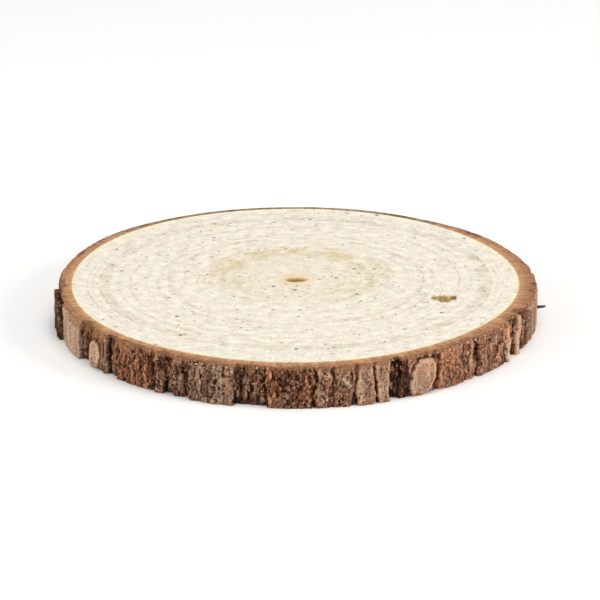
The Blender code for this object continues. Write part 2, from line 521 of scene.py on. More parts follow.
def plate_at(bearing, girth, height, plates):
    """Each point's plate, how many mm in from the plate's edge it is, and the nearer fissure's depth."""
    each = Plate(*(np.array(column) for column in zip(*plates)))
    start = plates[0].first
    waver = 0.50 * ripple(girth, height, 2.6, 3.8, 11) + 0.16 * ripple(girth, height, 0.7, 0.9, 12)
    place = (bearing - start + waver / MM_PER_DEGREE) % 360.0 + start
    here = np.clip(np.searchsorted(each.first, place, side="right") - 1, 0, len(plates) - 1)
    half = (each.last[here] - each.first[here]) / 2.0 * MM_PER_DEGREE
    off = (place - (each.first[here] + each.last[here]) / 2.0) * MM_PER_DEGREE

    # A plate ends at its two sides, and some are broken off below the top
    sides = half - np.abs(off) + 0.22 * ripple(girth, height, 1.3, 2.2, 15, 2)
    top = each.top[here] * (THICKNESS / MM)
    broken = np.where(each.top[here] < 1.0, top - height + 1.6 * waver, UNBROKEN_MM)

    # A round plate is an egg that leans a little to the right
    waist = top / 2.0
    lean = 0.26 * half * (height - waist) / waist
    across = np.abs((off - lean) / (0.86 * half))
    up = np.abs((height - waist) / (waist * 1.02))
    egg = (across ** EGG_POWER + up ** EGG_POWER) ** (1 / EGG_POWER)
    inside = np.where(each.round[here] > 0, (1.0 - egg) * half + 0.3 * waver, np.minimum(sides, broken))

    after = (here + 1) % len(plates)
    beyond = (each.first[after] + np.where(after == 0, 360.0, 0.0) - place) * MM_PER_DEGREE
    plate = np.where(beyond < -inside, after, here)
    before = np.where(off < 0, (here - 1) % len(plates), here)
    return Plate(*(column[plate] for column in each)), inside, each.fissure[before]


def breakout(bearing, girth, height):
    """How much the saw broke off along the sawn edges, and where that bares the middle bark at the top."""
    down = THICKNESS / MM - height
    torn_left = np.exp(-((bearing - TORN_LEFT) / 12.0) ** 2)
    gone = 0.66 + 1.1 * torn_left + (0.55 + 0.5 * torn_left) * ripple(girth, 0.0, 2.6, 1.0, 41, 3)
    near_top = smooth((gone - down) / 0.35 + 0.5)
    low = 0.05 + 0.4 * ripple(girth, 0.0, 2.2, 1.0, 45, 3)
    near_floor = smooth((low - height) / 0.2 + 0.5)
    slope = np.clip(1.0 - down / 1.2, 0.0, 1.0)
    bite = 0.45 + 0.9 * slope + 0.35 * ripple(girth, 0.0, 0.9, 1.0, 47, 2)
    return near_top * bite + near_floor, near_top


def bark_surface(bearing, height, settings):
    """What the bark's side does: millimetres beyond the wood, and the values that colour it, painted shade
    in the fissures among them.
    """
    girth = (bearing % 360.0) * MM_PER_DEGREE
    tall = THICKNESS / MM
    plate, inside, fissure = plate_at(bearing, girth, height, all_plates())
    deep = fissure * (1.0 - 0.45 * smooth((height - tall + 1.1) / 0.9))
    thickness = bark_thickness(bearing)
    share = thickness / FULL_BARK_MM
    mask = smooth(inside / (0.42 * share + 0.05) + 0.3)
    rough = 0.25 + 0.6 * plate.rust + 0.9 * smooth((0.72 - plate.tone) / 0.4)

    # Scales, each a little tilted, and smaller scales on them
    drift = 0.7 * ripple(girth, height, 1.6, 1.8, 61, 2)
    edge, aside, above, luck, hue = scales(girth + drift, height - drift, 2.1, 5.6, 63)
    crack = 0.08 * (1.0 - smooth(edge / 0.09))
    scale = 0.20 * (luck - 0.5) + 0.32 * (hue - 0.5) * aside + 0.10 * above - crack
    scale = scale * (0.35 + 0.5 * rough)
    fidget = 0.45 * ripple(girth, height, 0.8, 1.0, 69, 2)
    small = scales(girth + fidget, height + 1.5 * fidget, 0.75, 2.0, 67)
    small_aside, small_above, small_luck, small_hue = small[1:]
    tilt = 0.09 * (small_hue - 0.5) * small_aside * 2.0
    chip = 0.11 * (small_luck - 0.5) + tilt + 0.05 * small_above

    # Under them, layers that have flaked off towards a plate's edges, and fibres that run up the bark
    flaked = 1.5 * np.exp(-np.maximum(inside, 0.0) / 0.6)
    flakes = 1.2 * ripple(girth, height, 3.4, 5.2, 21, 3) - flaked + 1.0
    layer = np.minimum(terraces(flakes, 0.14), 1.0)
    layers = settings.flake_step / MM * (layer - 1.0)
    worn = 1.0 - 0.6 * plate.round * mask
    fibres = settings.grain_relief / MM * ripple(girth, height, 0.5, 3.4, 31, 3) * worn
    pits = smooth((ripple(girth, height, 0.75, 0.9, 33, 2) - 0.25) / 0.5)
    skin = (layers * (0.4 + 0.5 * rough) + scale * share + 0.8 * rough * chip) * mask
    skin += fibres - 0.13 * rough * pits - 0.12
    ridges = ripple(girth, height, 0.7, 3.0, 35, 3)
    floor = (0.30 * ridges - 0.12) * np.minimum(share, deep / 0.5) * (1.0 - mask)
    uneven = floor + (plate.proud + deep) * mask - deep + skin

    # The saw left the back's top edge cleaner than the front's
    behind = smooth((np.sin(np.radians(bearing)) + 0.05) / 0.35)
    out = thickness + uneven * (1.0 - 0.75 * behind * smooth((height - tall + 1.8) / 1.4))
    broken_off, near_top = breakout(bearing, girth, height)
    out -= settings.chip / MM * share * broken_off
    out = np.maximum(out, 0.35 * thickness)

    # The pits' term darkens the colour in the hollow pits: painted shade
    mottle = 0.24 * (hue - 0.5) + 0.18 * (small_luck - 0.5) - 0.22 * pits
    paleness = plate.tone + 0.5 * rough * mottle
    paleness += 0.07 * (layer - 0.4) + 0.10 * ripple(girth, height, 3.2, 4.0, 71, 2)
    # In the fissures the tone is partly their own dark colour and partly painted shade that deepens with
    # the fissure; the ridges on their floor are paler, painted highlight
    shallow = np.clip(1.2 - fissure / share, 0.0, 1.0)
    gap_tone = GAP_TONE + 0.75 * shallow * (plate.tone - GAP_TONE) + 0.20 * ridges
    rustiness = np.clip(plate.rust - 0.14 * (layer - 1.0) + 0.3 * (small_hue - 0.5), 0.0, 1.0)
    return out, {
        "tone": paleness * mask + gap_tone * (1.0 - mask),
        "rust": rustiness * mask + GAP_RUST * (1.0 - mask),
        # Painted shade: the deeper the fissure, the darker, and less so on the ridges of its floor
        "deep": (1.0 - mask) * np.clip(deep / share, 0.1, 1.0) * (0.75 - 0.35 * ridges),
        "grit": rough * mask + 1.0 - mask,
        "bared": near_top * (0.85 + 0.15 * ridges),
    }


def crest_groove_shading(surface):
    """How much each point stands out of its surroundings, from -1 in a groove to 1 on a crest; the bark's
    colour uses it for painted shade in the grooves and painted highlight on the crests.
    """
    spread = surface.copy()
    for _ in range(3):
        held = np.pad(spread, ((0, 0), (1, 1)), mode="edge")
        total = spread + np.roll(spread, 1, 0) + np.roll(spread, -1, 0)
        spread = (total + held[:, :-2] + held[:, 2:]) / 5.0
    return np.clip((surface - spread) / 0.06, -1.0, 1.0)


# ---- Materials ----------------------------------------------------------------------------------


def sawn_softwood(wood):
    """Raw sawn end grain of a pale softwood: dry, matte and a little fuzzy, with faint rings and specks."""
    made, put, place = new_material("sawn_softwood")
    flat = flat_place(put, place)
    rings = growth_rings(put, flat, wood.pith, wood.ring_pitch)
    patches = patchy(put, flat, 110.0, 3.0, (0.38, 0.62, 0.30, 1.0))
    dashes = patchy(put, flat, 520.0, 2.0, (0.38, 0.58, 0.30, 1.0))
    kept = put(MATHS, [patches, dashes], "MULTIPLY")
    drawn = put(MATHS, [rings, kept], "MULTIPLY")
    from_pith = put(VECTOR, [flat, wood.pith], "DISTANCE")
    grown = put(RANGE, [from_pith, 0.010, 0.024, 0.30, 0.85])
    ring_amount = put(MATHS, [drawn, grown], "MULTIPLY")
    base = put(MIX, {"Factor": ring_amount, "A": wood.early, "B": wood.late}, **BLENDED)

    # Mottling: patches of the fuzz that a saw leaves, a few millimetres across, some pinker, some greyer
    mottle = put(NOISE, {"Vector": flat, "Scale": 420.0, "Detail": 4.0, "Roughness": 0.65})
    mottled = put(RANGE, [mottle, 0.3, 0.7, 0.82, 1.10])
    fuzz = put(NOISE, {"Vector": flat, "Scale": 2300.0, "Detail": 2.0})
    fuzzed = put(RANGE, [fuzz, 0.25, 0.75, 0.83, 1.10])
    both = put(MATHS, [mottled, fuzzed], "MULTIPLY")
    tints = put(NOISE, {"Vector": flat, "Scale": 230.0, "Detail": 4.0, "Roughness": 0.7})
    tint = put(RAMP, {"Fac": tints}, stops=[
        (0.34, linear("FFF8F2")), (0.50, linear("FFFFFF")), (0.66, linear("F7F8F0"))])

    # The saw's marks, a little darker and lighter by turns
    kerf = saw_marks(put, flat)
    marks = put(RANGE, [kerf, 0.35, 0.65, 0.98, 1.01])
    light = put(MATHS, [both, marks], "MULTIPLY")

    # The heartwood's stain: a broken ring, strongest behind the pith
    away = put(VECTOR, [flat, (-0.0005, 0.0049, 0.0)], "SUBTRACT")
    squashed = put(VECTOR, [away, (1 / 0.0156, 1 / 0.0138, 0.0)], "MULTIPLY")
    stretch = put(VECTOR, [squashed], "LENGTH")
    blots = put(NOISE, {"Vector": flat, "Scale": 330.0, "Detail": 3.0, "Roughness": 0.6})
    wobble = put(MATHS, [blots, 0.50, -0.25], "MULTIPLY_ADD")
    wide = put(MATHS, [stretch, wobble], "ADD")
    off_ring = put(MATHS, [wide, 1.0], "SUBTRACT")
    off = put(MATHS, [off_ring], "ABSOLUTE")
    band = put(RANGE, [off, 0.0, 0.36, 1.0, 0.0], **EASED)
    patched = patchy(put, flat, 190.0, 2.0, (0.40, 0.60, 0.10, 1.0))
    spattered = patchy(put, flat, 700.0, 3.0, (0.38, 0.66, 0.30, 1.0), Roughness=0.7)
    broken = put(MATHS, [patched, spattered], "MULTIPLY")
    behind = put("ShaderNodeSeparateXYZ", [squashed]).outputs[1]
    back = put(RANGE, [behind, -0.9, 0.5, 0.40, 1.0])
    ring = put(MATHS, [band, broken], "MULTIPLY")
    soaked = put(MATHS, [ring, back], "MULTIPLY")
    heart = put(RANGE, [stretch, 0.6, 1.7, 0.13, 0.0], **EASED)
    aged = put(MIX, {"Factor": heart, "A": base, "B": wood.stain}, **BLENDED)
    stained = put(MIX, {"Factor": soaked, "A": aged, "B": wood.stain}, **BLENDED)

    # The newest wood, just under the bark, is the brightest
    from_centre = put(VECTOR, [flat, (*WOOD_CENTRE, 0.0)], "SUBTRACT")
    per_half = (1 / WOOD_HALF_WIDTH, 1 / WOOD_HALF_DEPTH, 0.0)
    unit = put(VECTOR, [from_centre, per_half], "MULTIPLY")
    out = put(VECTOR, [unit], "LENGTH")
    newest = put(RANGE, [out, 0.972, 0.995], **EASED)
    rimmed = put(MIX, {"Factor": newest, "A": stained, "B": wood.rim}, **BLENDED)

    tinted = put(MIX, {"Factor": 1.0, "A": rimmed, "B": tint}, **TINTED)
    shaded = put(MIX, {"Factor": 1.0, "A": tinted, "B": light}, **TINTED)

    # Specks of resin and dirt, in clusters and denser to the right: few dark ones and many faint small
    # ones. Of every cell's specks the given shares are left out at the left and at the right.
    specked = shaded
    crowd = patchy(put, flat, 95.0, 2.0, (0.35, 0.65, 0.26, -0.26))
    across = put("ShaderNodeSeparateXYZ", [flat])
    for cell, left, right, smallest, largest, faintest, darkest in (
        (0.0026, 0.62, 0.36, 0.09, 0.21, 0.35, 0.90), (0.0014, 0.52, 0.34, 0.12, 0.30, 0.12, 0.66),
    ):
        cells = put("ShaderNodeTexVoronoi", {"Vector": flat, "Scale": 1.0 / cell})
        lucky = put("ShaderNodeSeparateColor", [cells.outputs["Color"]]).outputs
        left_out = put(RANGE, [across, -0.03, 0.03, left, right])
        left_out = put(MATHS, [soaked, -0.25, left_out], "MULTIPLY_ADD")
        left_out = put(MATHS, [left_out, crowd], "ADD")
        chosen = put(MATHS, [lucky[0], left_out], "GREATER_THAN")
        reach = put(RANGE, [lucky[1], 0.0, 1.0, smallest, largest])
        near = put(MATHS, [cells.outputs["Distance"], reach], "DIVIDE")
        dot = put(RANGE, [near, 0.5, 1.2, 1.0, 0.0])
        depth = put(RANGE, [lucky[2], 0.0, 1.0, faintest, darkest])
        shown = put(MATHS, [dot, chosen], "MULTIPLY")
        dots = put(MATHS, [shown, depth], "MULTIPLY")
        specked = put(MIX, {"Factor": dots, "A": specked, "B": wood.speck}, **BLENDED)

    # The pith, in its soft orange halo
    halo = put(RANGE, [from_pith, 0.0012, 0.0046, 0.90, 0.0], **EASED)
    haloed = put(MIX, {"Factor": halo, "A": specked, "B": linear("DFC091")}, **BLENDED)
    pith = pith_share(put, flat, wood.pith, wood.pith_radius)
    pithed = put(MIX, {"Factor": pith, "A": haloed, "B": wood.pith_colour}, **BLENDED)

    # The torn knot: olive brown, with a dark bar at its right end and a dark point
    knot, parts = knot_share(put, flat, wood.knot, wood.knot_radius)
    shred = put(NOISE, {"Vector": flat, "Scale": 1300.0, "Detail": 2.0})
    shade = put(RAMP, {"Fac": shred}, stops=[
        (0.34, linear("6B5128")), (0.50, wood.knot_colour), (0.66, linear("BFA56F"))])
    from_bar = put(MATHS, [parts[0], 0.82], "SUBTRACT")
    off_bar = put(MATHS, [from_bar], "ABSOLUTE")
    bar = put(RANGE, [off_bar, 0.08, 0.20, 1.0, 0.0])
    tip = put(RANGE, [parts[1], -0.9, -0.45, 1.0, 0.0])
    scorched = put(MATHS, [bar, tip], "MAXIMUM")
    dark = put(MATHS, [scorched, 0.75], "MULTIPLY")
    burnt = put(MIX, {"Factor": dark, "A": shade, "B": linear("4A3020")}, **BLENDED)
    knotted = put(MIX, {"Factor": knot, "A": pithed, "B": burnt}, **BLENDED)

    relief = put(MATHS, [fuzz, 0.5, mottle], "MULTIPLY_ADD")
    relief = put(MATHS, [kerf, 0.8, relief], "MULTIPLY_ADD")
    bump = put("ShaderNodeBump", {"Height": relief, "Strength": 0.30, "Distance": 0.00012})
    finish_material(put, {
        "Base Color": knotted, "Roughness": 0.78, "Normal": bump, "Specular IOR Level": 0.25})
    return made


def inner_bark(bark):
    """Living bark cut across: corky, orange tan by the wood and browner outwards, in thin layers."""
    made, put, place = new_material("cut_inner_bark")
    outward, inward, thickness = (
        put("ShaderNodeAttribute", attribute_name=name).outputs["Fac"]
        for name in ("outward", "inward", "thickness")
    )
    ragged = put(NOISE, {"Vector": place, "Scale": 520.0, "Detail": 4.0, "Roughness": 0.65})
    wander = put(MATHS, [ragged, 1.8, -0.9], "MULTIPLY_ADD")
    nicked = patchy(put, place, 210.0, 2.0, (0.50, 0.64, 0.1, -0.8))
    wavy = put(MATHS, [inward, wander], "ADD")
    edge = put(MATHS, [wavy, nicked], "ADD")
    by_wood = put(RAMP, {"Fac": put(RANGE, [outward, 0.0, 3.2])}, stops=[
        (0.0, linear("DDBE92")), (0.07, linear("C39A6E")), (0.24, bark.inner), (0.80, bark.inner_deep)])
    thinness = put(RANGE, [thickness, 1.5, 2.9, 0.85, 0.0], **EASED)
    dulled = put(MIX, {"Factor": thinness, "A": by_wood, "B": bark.thin}, **BLENDED)
    by_edge = put(RANGE, [edge, 0.0, 0.45, 0.68, 0.0], **EASED)
    darkened = put(RANGE, [nicked, -0.1, -0.7, 0.0, 0.7])
    dark = put(MATHS, [thinness, darkened], "MAXIMUM")
    weathered = put(MIX, {"Factor": dark, "A": bark.outer, "B": bark.dark}, **BLENDED)
    browned = put(MIX, {"Factor": by_edge, "A": dulled, "B": weathered}, **BLENDED)

    # Rays run straight out from the wood, a millimetre or less apart, and growth layers run round it
    away = put(VECTOR, [place, (*WOOD_CENTRE, 0.0)], "SUBTRACT")
    flat = put(VECTOR, [away, (1.0, 1.0, 0.0)], "MULTIPLY")
    bearing = put(VECTOR, {0: put(VECTOR, [flat], "NORMALIZE"), 3: 0.05}, "SCALE")
    slowly = put(MATHS, [outward, 0.0002], "MULTIPLY")
    out = put("ShaderNodeCombineXYZ", {2: slowly})
    along = put(VECTOR, [bearing, out], "ADD")
    rays = put(NOISE, {"Vector": along, "Scale": 900.0, "Detail": 4.0, "Roughness": 0.7})
    ray = put(RANGE, [rays, 0.3, 0.7, 0.58, 1.32])
    stepped = put(MATHS, [outward, 3.2], "MULTIPLY")
    layered = put("ShaderNodeCombineXYZ", [stepped, ragged])
    layer = patchy(put, layered, 1.6, 2.0, (0.35, 0.65, 0.80, 1.16))
    cork = put(NOISE, {"Vector": place, "Scale": 1300.0, "Detail": 3.0, "Roughness": 0.7})
    corky = put(RANGE, [cork, 0.3, 0.7, 0.70, 1.26])
    light = put(MATHS, [ray, layer], "MULTIPLY")
    light = put(MATHS, [light, corky], "MULTIPLY")
    coloured = put(MIX, {"Factor": 1.0, "A": browned, "B": light}, **TINTED)
    relief = put(MATHS, [cork, 0.8, rays], "MULTIPLY_ADD")
    bump = put("ShaderNodeBump", {"Height": relief, "Strength": 0.6, "Distance": 0.00018})
    finish_material(put, {
        "Base Color": coloured, "Roughness": 0.82, "Normal": bump, "Specular IOR Level": 0.2})
    return made


def outer_bark(bark):
    """Dead outer bark, weathered: matte, grey tan plates on rusty flakes, near black in the fissures.
    Painted shade darkens the fissures by their depth and the grooves of the relief, and painted highlight
    lifts its crests.
    """
    made, put, place = new_material("weathered_outer_bark")
    tone, rust, deep, wear, bared, coarse = (
        put("ShaderNodeAttribute", attribute_name=name).outputs["Fac"]
        for name in ("tone", "rust", "deep", "wear", "bared", "grit")
    )

    # Strands run up the bark, less than a millimetre apart, and grit sits on them
    upright = put(VECTOR, [place, (1.0, 1.0, 0.16)], "MULTIPLY")
    fibres = put(NOISE, {"Vector": upright, "Scale": 1500.0, "Detail": 3.0, "Roughness": 0.6})
    grit = put(NOISE, {"Vector": place, "Scale": 1500.0, "Detail": 3.0, "Roughness": 0.65})
    fine = put(NOISE, {"Vector": place, "Scale": 3200.0, "Detail": 2.0, "Roughness": 0.6})
    cloud = put(NOISE, {"Vector": place, "Scale": 260.0, "Detail": 3.0})
    streaked = put(MATHS, [fibres, 0.75], "MULTIPLY")
    gritty = put(MATHS, [grit, 0.95, streaked], "MULTIPLY_ADD")
    rubbed = put(MATHS, [fine, 0.50, gritty], "MULTIPLY_ADD")
    even = put(MATHS, [rubbed, 1.10], "SUBTRACT")
    amount = put(RANGE, [coarse, 0.2, 1.2, 0.45, 1.15])
    uneven = put(MATHS, [even, amount, tone], "MULTIPLY_ADD")
    flecks = patchy(put, place, 1300.0, 1.5, (0.60, 0.68, 0.0, 0.34), Roughness=0.7)
    fleck = put(MATHS, [flecks, coarse], "MULTIPLY")
    brightened = put(MATHS, [uneven, fleck], "ADD")
    # Painted highlight and shade: crests of the relief are paler, grooves darker
    paleness = put(MATHS, [wear, 0.20, brightened], "MULTIPLY_ADD")
    base = put(RAMP, {"Fac": paleness}, stops=[
        (0.0, bark.fissure), (0.25, bark.dark), (0.50, bark.grey), (0.75, bark.tan), (1.0, bark.pale)])
    rusty = put(MATHS, [cloud, 1.2, rust], "MULTIPLY_ADD")
    rust_mask = put(RANGE, [rusty, 0.60, 1.30, 0.0, 0.80])
    rust_tint = put(MIX, {"Factor": 1.0, "A": base, "B": bark.rust}, **TINTED)
    rusted = put(MIX, {"Factor": rust_mask, "A": base, "B": rust_tint}, **BLENDED)
    # Painted shade in the fissures: the deeper, the nearer the colour goes to the fissure colour
    sunk = put(RANGE, [deep, 0.1, 0.9, 0.0, 0.50])
    dark = put(MIX, {"Factor": sunk, "A": rusted, "B": bark.fissure}, **BLENDED)
    # Painted shade: the grooves of the relief darken the colour to about half
    groove = put(RANGE, [wear, -0.9, 0.1, 0.55, 1.0])
    shaded = put(MIX, {"Factor": 1.0, "A": dark, "B": groove}, **TINTED)

    # Along the sawn top edge the outer flakes are gone, and the orange middle bark shows
    speckled = put(RANGE, [grit, 0.3, 0.7, 0.60, 1.15])
    middle = put(MIX, {"Factor": 1.0, "A": bark.inner_deep, "B": speckled}, **TINTED)
    open_share = put(MATHS, [bared, 0.8], "MULTIPLY")
    opened = put(MIX, {"Factor": open_share, "A": shaded, "B": middle}, **BLENDED)
    relief = put(MATHS, [grit, 0.8, fibres], "MULTIPLY_ADD")
    relief = put(MATHS, [fine, 0.5, relief], "MULTIPLY_ADD")
    bump = put("ShaderNodeBump", {"Height": relief, "Strength": 0.8, "Distance": 0.0003})
    finish_material(put, {
        "Base Color": opened, "Roughness": 0.92, "Normal": bump, "Specular IOR Level": 0.15})
    return made


def torn_fibre(bark):
    """Raw bast fibre pulled out by the saw: pale, dry and matte, darker here and there."""
    made, put, place = new_material("torn_bast_fibre")
    blotch = put(NOISE, {"Vector": place, "Scale": 500.0, "Detail": 2.0})
    tint = put(RAMP, {"Fac": blotch}, stops=[(0.35, linear("9A7250")), (0.6, bark.fibre)])
    finish_material(put, {"Base Color": tint, "Roughness": 0.85, "Specular IOR Level": 0.2})
    return made


def dead_splinter(bark):
    """Dead wood gone grey black in the weather: dry and streaked along its length."""
    made, put, place = new_material("weathered_dead_wood")
    long_ways = put(VECTOR, [place, (0.25, 1.0, 1.0)], "MULTIPLY")
    streaks = put(NOISE, {"Vector": long_ways, "Scale": 3500.0, "Detail": 2.0})
    tint = put(RAMP, {"Fac": streaks}, stops=[(0.36, linear("2B2624")), (0.64, bark.dead)])
    bump = put("ShaderNodeBump", {"Height": streaks, "Strength": 0.7, "Distance": 0.0001})
    finish_material(put, {
        "Base Color": tint, "Roughness": 0.85, "Normal": bump, "Specular IOR Level": 0.2})
    return made


def floor_card(stage):
    """Matte studio card: plain and pale, with the faintest tooth."""
    made, put, place = new_material("studio_card")
    tooth = put(NOISE, {"Vector": place, "Scale": 900.0, "Detail": 1.0})
    darker = tuple(0.97 * c for c in stage.floor)
    tint = put(RAMP, {"Fac": tooth}, stops=[(0.0, darker), (1.0, stage.floor[:])])
    finish_material(put, {"Base Color": tint, "Roughness": 0.9, "Specular IOR Level": 0.1})
    return made


# ---- Pieces -------------------------------------------------------------------------------------


def wood_tree():
    """A turned sheet that closes on itself: out over the top, down the rim and back under it."""
    tree, put, given = new_modifier_tree("sawn wood disc", {
        "Half Width": "Float", "Half Depth": "Float", "Centre": "Vector", "Thickness": "Float",
        "Swell": "Float", "Spokes": "Int", "Pith": "Vector", "Pith Radius": "Float", "Pith Depth": "Float",
        "Knot": "Vector", "Knot Radius": "Float", "Knot Depth": "Float",
        "Ring Pitch": "Float", "Ring Relief": "Float", "Saw Relief": "Float", "Material": "Material",
    })
    # The grid's steps in all, those over the top and those down the rim; the rest run back below
    steps, over, rim = 150, 108, 3
    grid = put("GeometryNodeMeshGrid", {
        "Size X": 1.0, "Size Y": 1.0, "Vertices X": steps + 1, "Vertices Y": given["Spokes"]})
    at = put("ShaderNodeSeparateXYZ", [put("GeometryNodeInputPosition")])
    along = put(MATHS, [at.outputs[0], 0.5], "ADD")
    angle = put(RANGE, [at.outputs[1], -0.5, 0.5, 0.0, 2.0 * math.pi])
    outwards = put(RANGE, [along, 0.0, over / steps])
    inwards = put(RANGE, [along, (over + rim) / steps, 1.0, 1.0, 0.0])
    share = put(MATHS, [outwards, inwards], "MINIMUM")
    top = put(RANGE, [along, over / steps, (over + rim) / steps, 1.0, 0.0])
    cos = put(MATHS, [angle], "COSINE")
    sin = put(MATHS, [angle], "SINE")
    wide = put(MATHS, [given["Half Depth"], cos], "MULTIPLY")
    deep = put(MATHS, [given["Half Width"], sin], "MULTIPLY")
    across = put(VECTOR, [put("ShaderNodeCombineXYZ", [wide, deep])], "LENGTH")
    area = put(MATHS, [given["Half Width"], given["Half Depth"]], "MULTIPLY")
    radius = put(MATHS, [area, across], "DIVIDE")
    waves = 0.0
    for count, turn, part in SWELL_WAVES:
        turned = put(MATHS, [angle, count, turn], "MULTIPLY_ADD")
        wave = put(MATHS, [turned], "SINE")
        waves = put(MATHS, [wave, part, waves], "MULTIPLY_ADD")
    edge = put(MATHS, [waves, given["Swell"], radius], "MULTIPLY_ADD")
    reach = put(MATHS, [edge, share], "MULTIPLY")
    x = put(MATHS, [cos, reach], "MULTIPLY")
    y = put(MATHS, [sin, reach], "MULTIPLY")
    z = put(MATHS, [top, given["Thickness"]], "MULTIPLY")
    flat = put(VECTOR, [put("ShaderNodeCombineXYZ", [x, y]), given["Centre"]], "ADD")

    # Relief on the two faces, none at the rim and none below the floor
    rings = growth_rings(put, flat, given["Pith"], given["Ring Pitch"])
    kerf = saw_marks(put, flat)
    pith = pith_share(put, flat, given["Pith"], given["Pith Radius"])
    knot = knot_share(put, flat, given["Knot"], given["Knot Radius"])[0]
    relief = 0.0
    for pattern, above in ((rings, "Ring Relief"), (kerf, "Saw Relief")):
        below = put(MATHS, [pattern, -1.0], "ADD")
        relief = put(MATHS, [below, given[above], relief], "MULTIPLY_ADD")
    for pattern, depth in ((pith, "Pith Depth"), (knot, "Knot Depth")):
        down = put(MATHS, [given[depth], -1.0], "MULTIPLY")
        relief = put(MATHS, [pattern, down, relief], "MULTIPLY_ADD")
    held = put(RANGE, [share, 1.0, 0.99, 0.0, 1.0])
    side = put(RANGE, [top, 0.0, 1.0, -1.0, 1.0])
    sunk = put(MATHS, [relief, held], "MULTIPLY")
    drop = put(MATHS, [sunk, side], "MULTIPLY")
    height = put(MATHS, [z, drop], "ADD")
    parts = put("ShaderNodeSeparateXYZ", [flat])
    place = put("ShaderNodeCombineXYZ", [parts.outputs[0], parts.outputs[1], height])
    formed = put("GeometryNodeSetPosition", {"Geometry": grid.outputs["Mesh"], "Position": place})
    closed = put("GeometryNodeMergeByDistance", {"Geometry": formed, "Distance": 0.000002})
    finish_tree(put, closed, given["Material"])
    return tree


class WOODSLICE_OT_sawn_wood(Operator):
    """Makes the sawn wood inside the bark"""

    bl_idname = "woodslice.sawn_wood"
    bl_label = "Sawn Wood"

    def execute(self, context):
        wood = context.scene.wood_slice.wood
        piece = run_tree("sawn_wood", wood_tree(), {
            "Half Width": WOOD_HALF_WIDTH, "Half Depth": WOOD_HALF_DEPTH, "Centre": (*WOOD_CENTRE, 0.0),
            "Thickness": THICKNESS, "Swell": SWELL_MM * MM, "Spokes": wood.spokes + 1,
            "Pith": wood.pith[:], "Pith Radius": wood.pith_radius, "Pith Depth": wood.pith_depth,
            "Knot": wood.knot[:], "Knot Radius": wood.knot_radius, "Knot Depth": wood.knot_depth,
            "Ring Pitch": wood.ring_pitch, "Ring Relief": wood.ring_relief, "Saw Relief": wood.saw_relief,
            "Material": sawn_softwood(wood),
        })
        piece.data.shade_smooth()
        piece.data.set_sharp_from_angle(angle=math.radians(50.0))
        stands_for_slice(piece)
        return {"FINISHED"}


def bark_mesh(settings):
    """The bark's closed ring: its underside, plated side and sawn top, and the wall against the wood."""
    bearing = (np.arange(BARK_ROUND) * 360.0 / BARK_ROUND)[:, None]
    tall = THICKNESS / MM
    up = np.linspace(0.0, 1.0, BARK_UP + 1)[None, :] * tall
    out, looks = bark_surface(bearing, up, settings)
    # Painted shade and highlight: the colour is darker in the grooves of the relief and paler on its crests
    looks["wear"] = crest_groove_shading(out)
    girth = bearing * MM_PER_DEGREE

    # Across the sawn faces, from the outer edge in to just under the wood
    share = np.linspace(0.0, 1.0, BARK_ACROSS_TOP + 1)[None, 1:] ** 1.25
    top = out[:, -1:] * (1.0 - share) + TUCK_MM * share
    fuzz = 0.03 * ripple(girth, top, 0.6, 0.35, 51, 2) - 0.03
    top_z = tall + fuzz - 0.10 * smooth((0.35 - top) / 0.4)
    under_share = np.linspace(0.0, 1.0, BARK_ACROSS_BELOW + 1)[None, ::-1][:, :-1]
    under = out[:, :1] * (1.0 - under_share) + TUCK_MM * under_share
    under_z = 0.02 + 0.02 * ripple(girth, under, 0.9, 0.5, 57, 2) + 0.10 * smooth((0.35 - under) / 0.4)
    under_z = np.maximum(under_z, 0.0)

    beyond = np.hstack([under, out, top])
    height = np.hstack([under_z, np.broadcast_to(up, out.shape), top_z])
    radius = wood_edge(bearing) + beyond * MM
    angle = np.radians(bearing)
    places = np.stack([
        WOOD_CENTRE[0] + radius * np.cos(angle), WOOD_CENTRE[1] + radius * np.sin(angle), height * MM,
    ], axis=-1).reshape(-1, 3)

    loop = beyond.shape[1]
    here = np.arange(BARK_ROUND)[:, None] * loop
    on = ((np.arange(BARK_ROUND) + 1) % BARK_ROUND)[:, None] * loop
    step = np.arange(loop)[None, :]
    following = (step + 1) % loop
    faces = np.stack([here + step, on + step, on + following, here + following], axis=-1).reshape(-1, 4)
    mesh = bpy.data.meshes.new("bark")
    mesh.from_pydata(places, [], faces)

    side = (step >= under.shape[1]) & (step < under.shape[1] + out.shape[1] - 1)
    slot = np.broadcast_to(np.where(side, 0, 1), (BARK_ROUND, loop)).reshape(-1)
    mesh.polygons.foreach_set("material_index", slot.astype(np.int32))

    inward = np.hstack([out[:, :1] - under, np.zeros(out.shape), out[:, -1:] - top])
    away_from_edges = (up > 0.9) & (up < tall - 1.1)
    crumbly = np.clip(looks["deep"] + (looks["rust"] > 0.62) * 0.4, 0.0, 1.0) * away_from_edges
    patches = sum(np.exp(-((bearing - middle) / 1.3) ** 2) for middle in TORN_BEARINGS)
    torn = 1.0 * ((up > tall - 1.3) & (up < tall - 0.35)) + 5.0 * patches * ((up > 2.0) & (up < tall - 1.0))
    blanks = [np.zeros(side.shape) for side in (under, top)]
    on_side = {**looks, "crumbly": crumbly, "torn": torn}
    values = {name: np.hstack([blanks[0], field, blanks[1]]) for name, field in on_side.items()}
    thickness = np.broadcast_to(bark_thickness(bearing), beyond.shape)
    for name, field in {**values, "outward": beyond, "inward": inward, "thickness": thickness}.items():
        layer = mesh.attributes.new(name, "FLOAT", "POINT")
        layer.data.foreach_set("value", np.ascontiguousarray(field.reshape(-1), np.float32))
    mesh.shade_smooth()
    return mesh


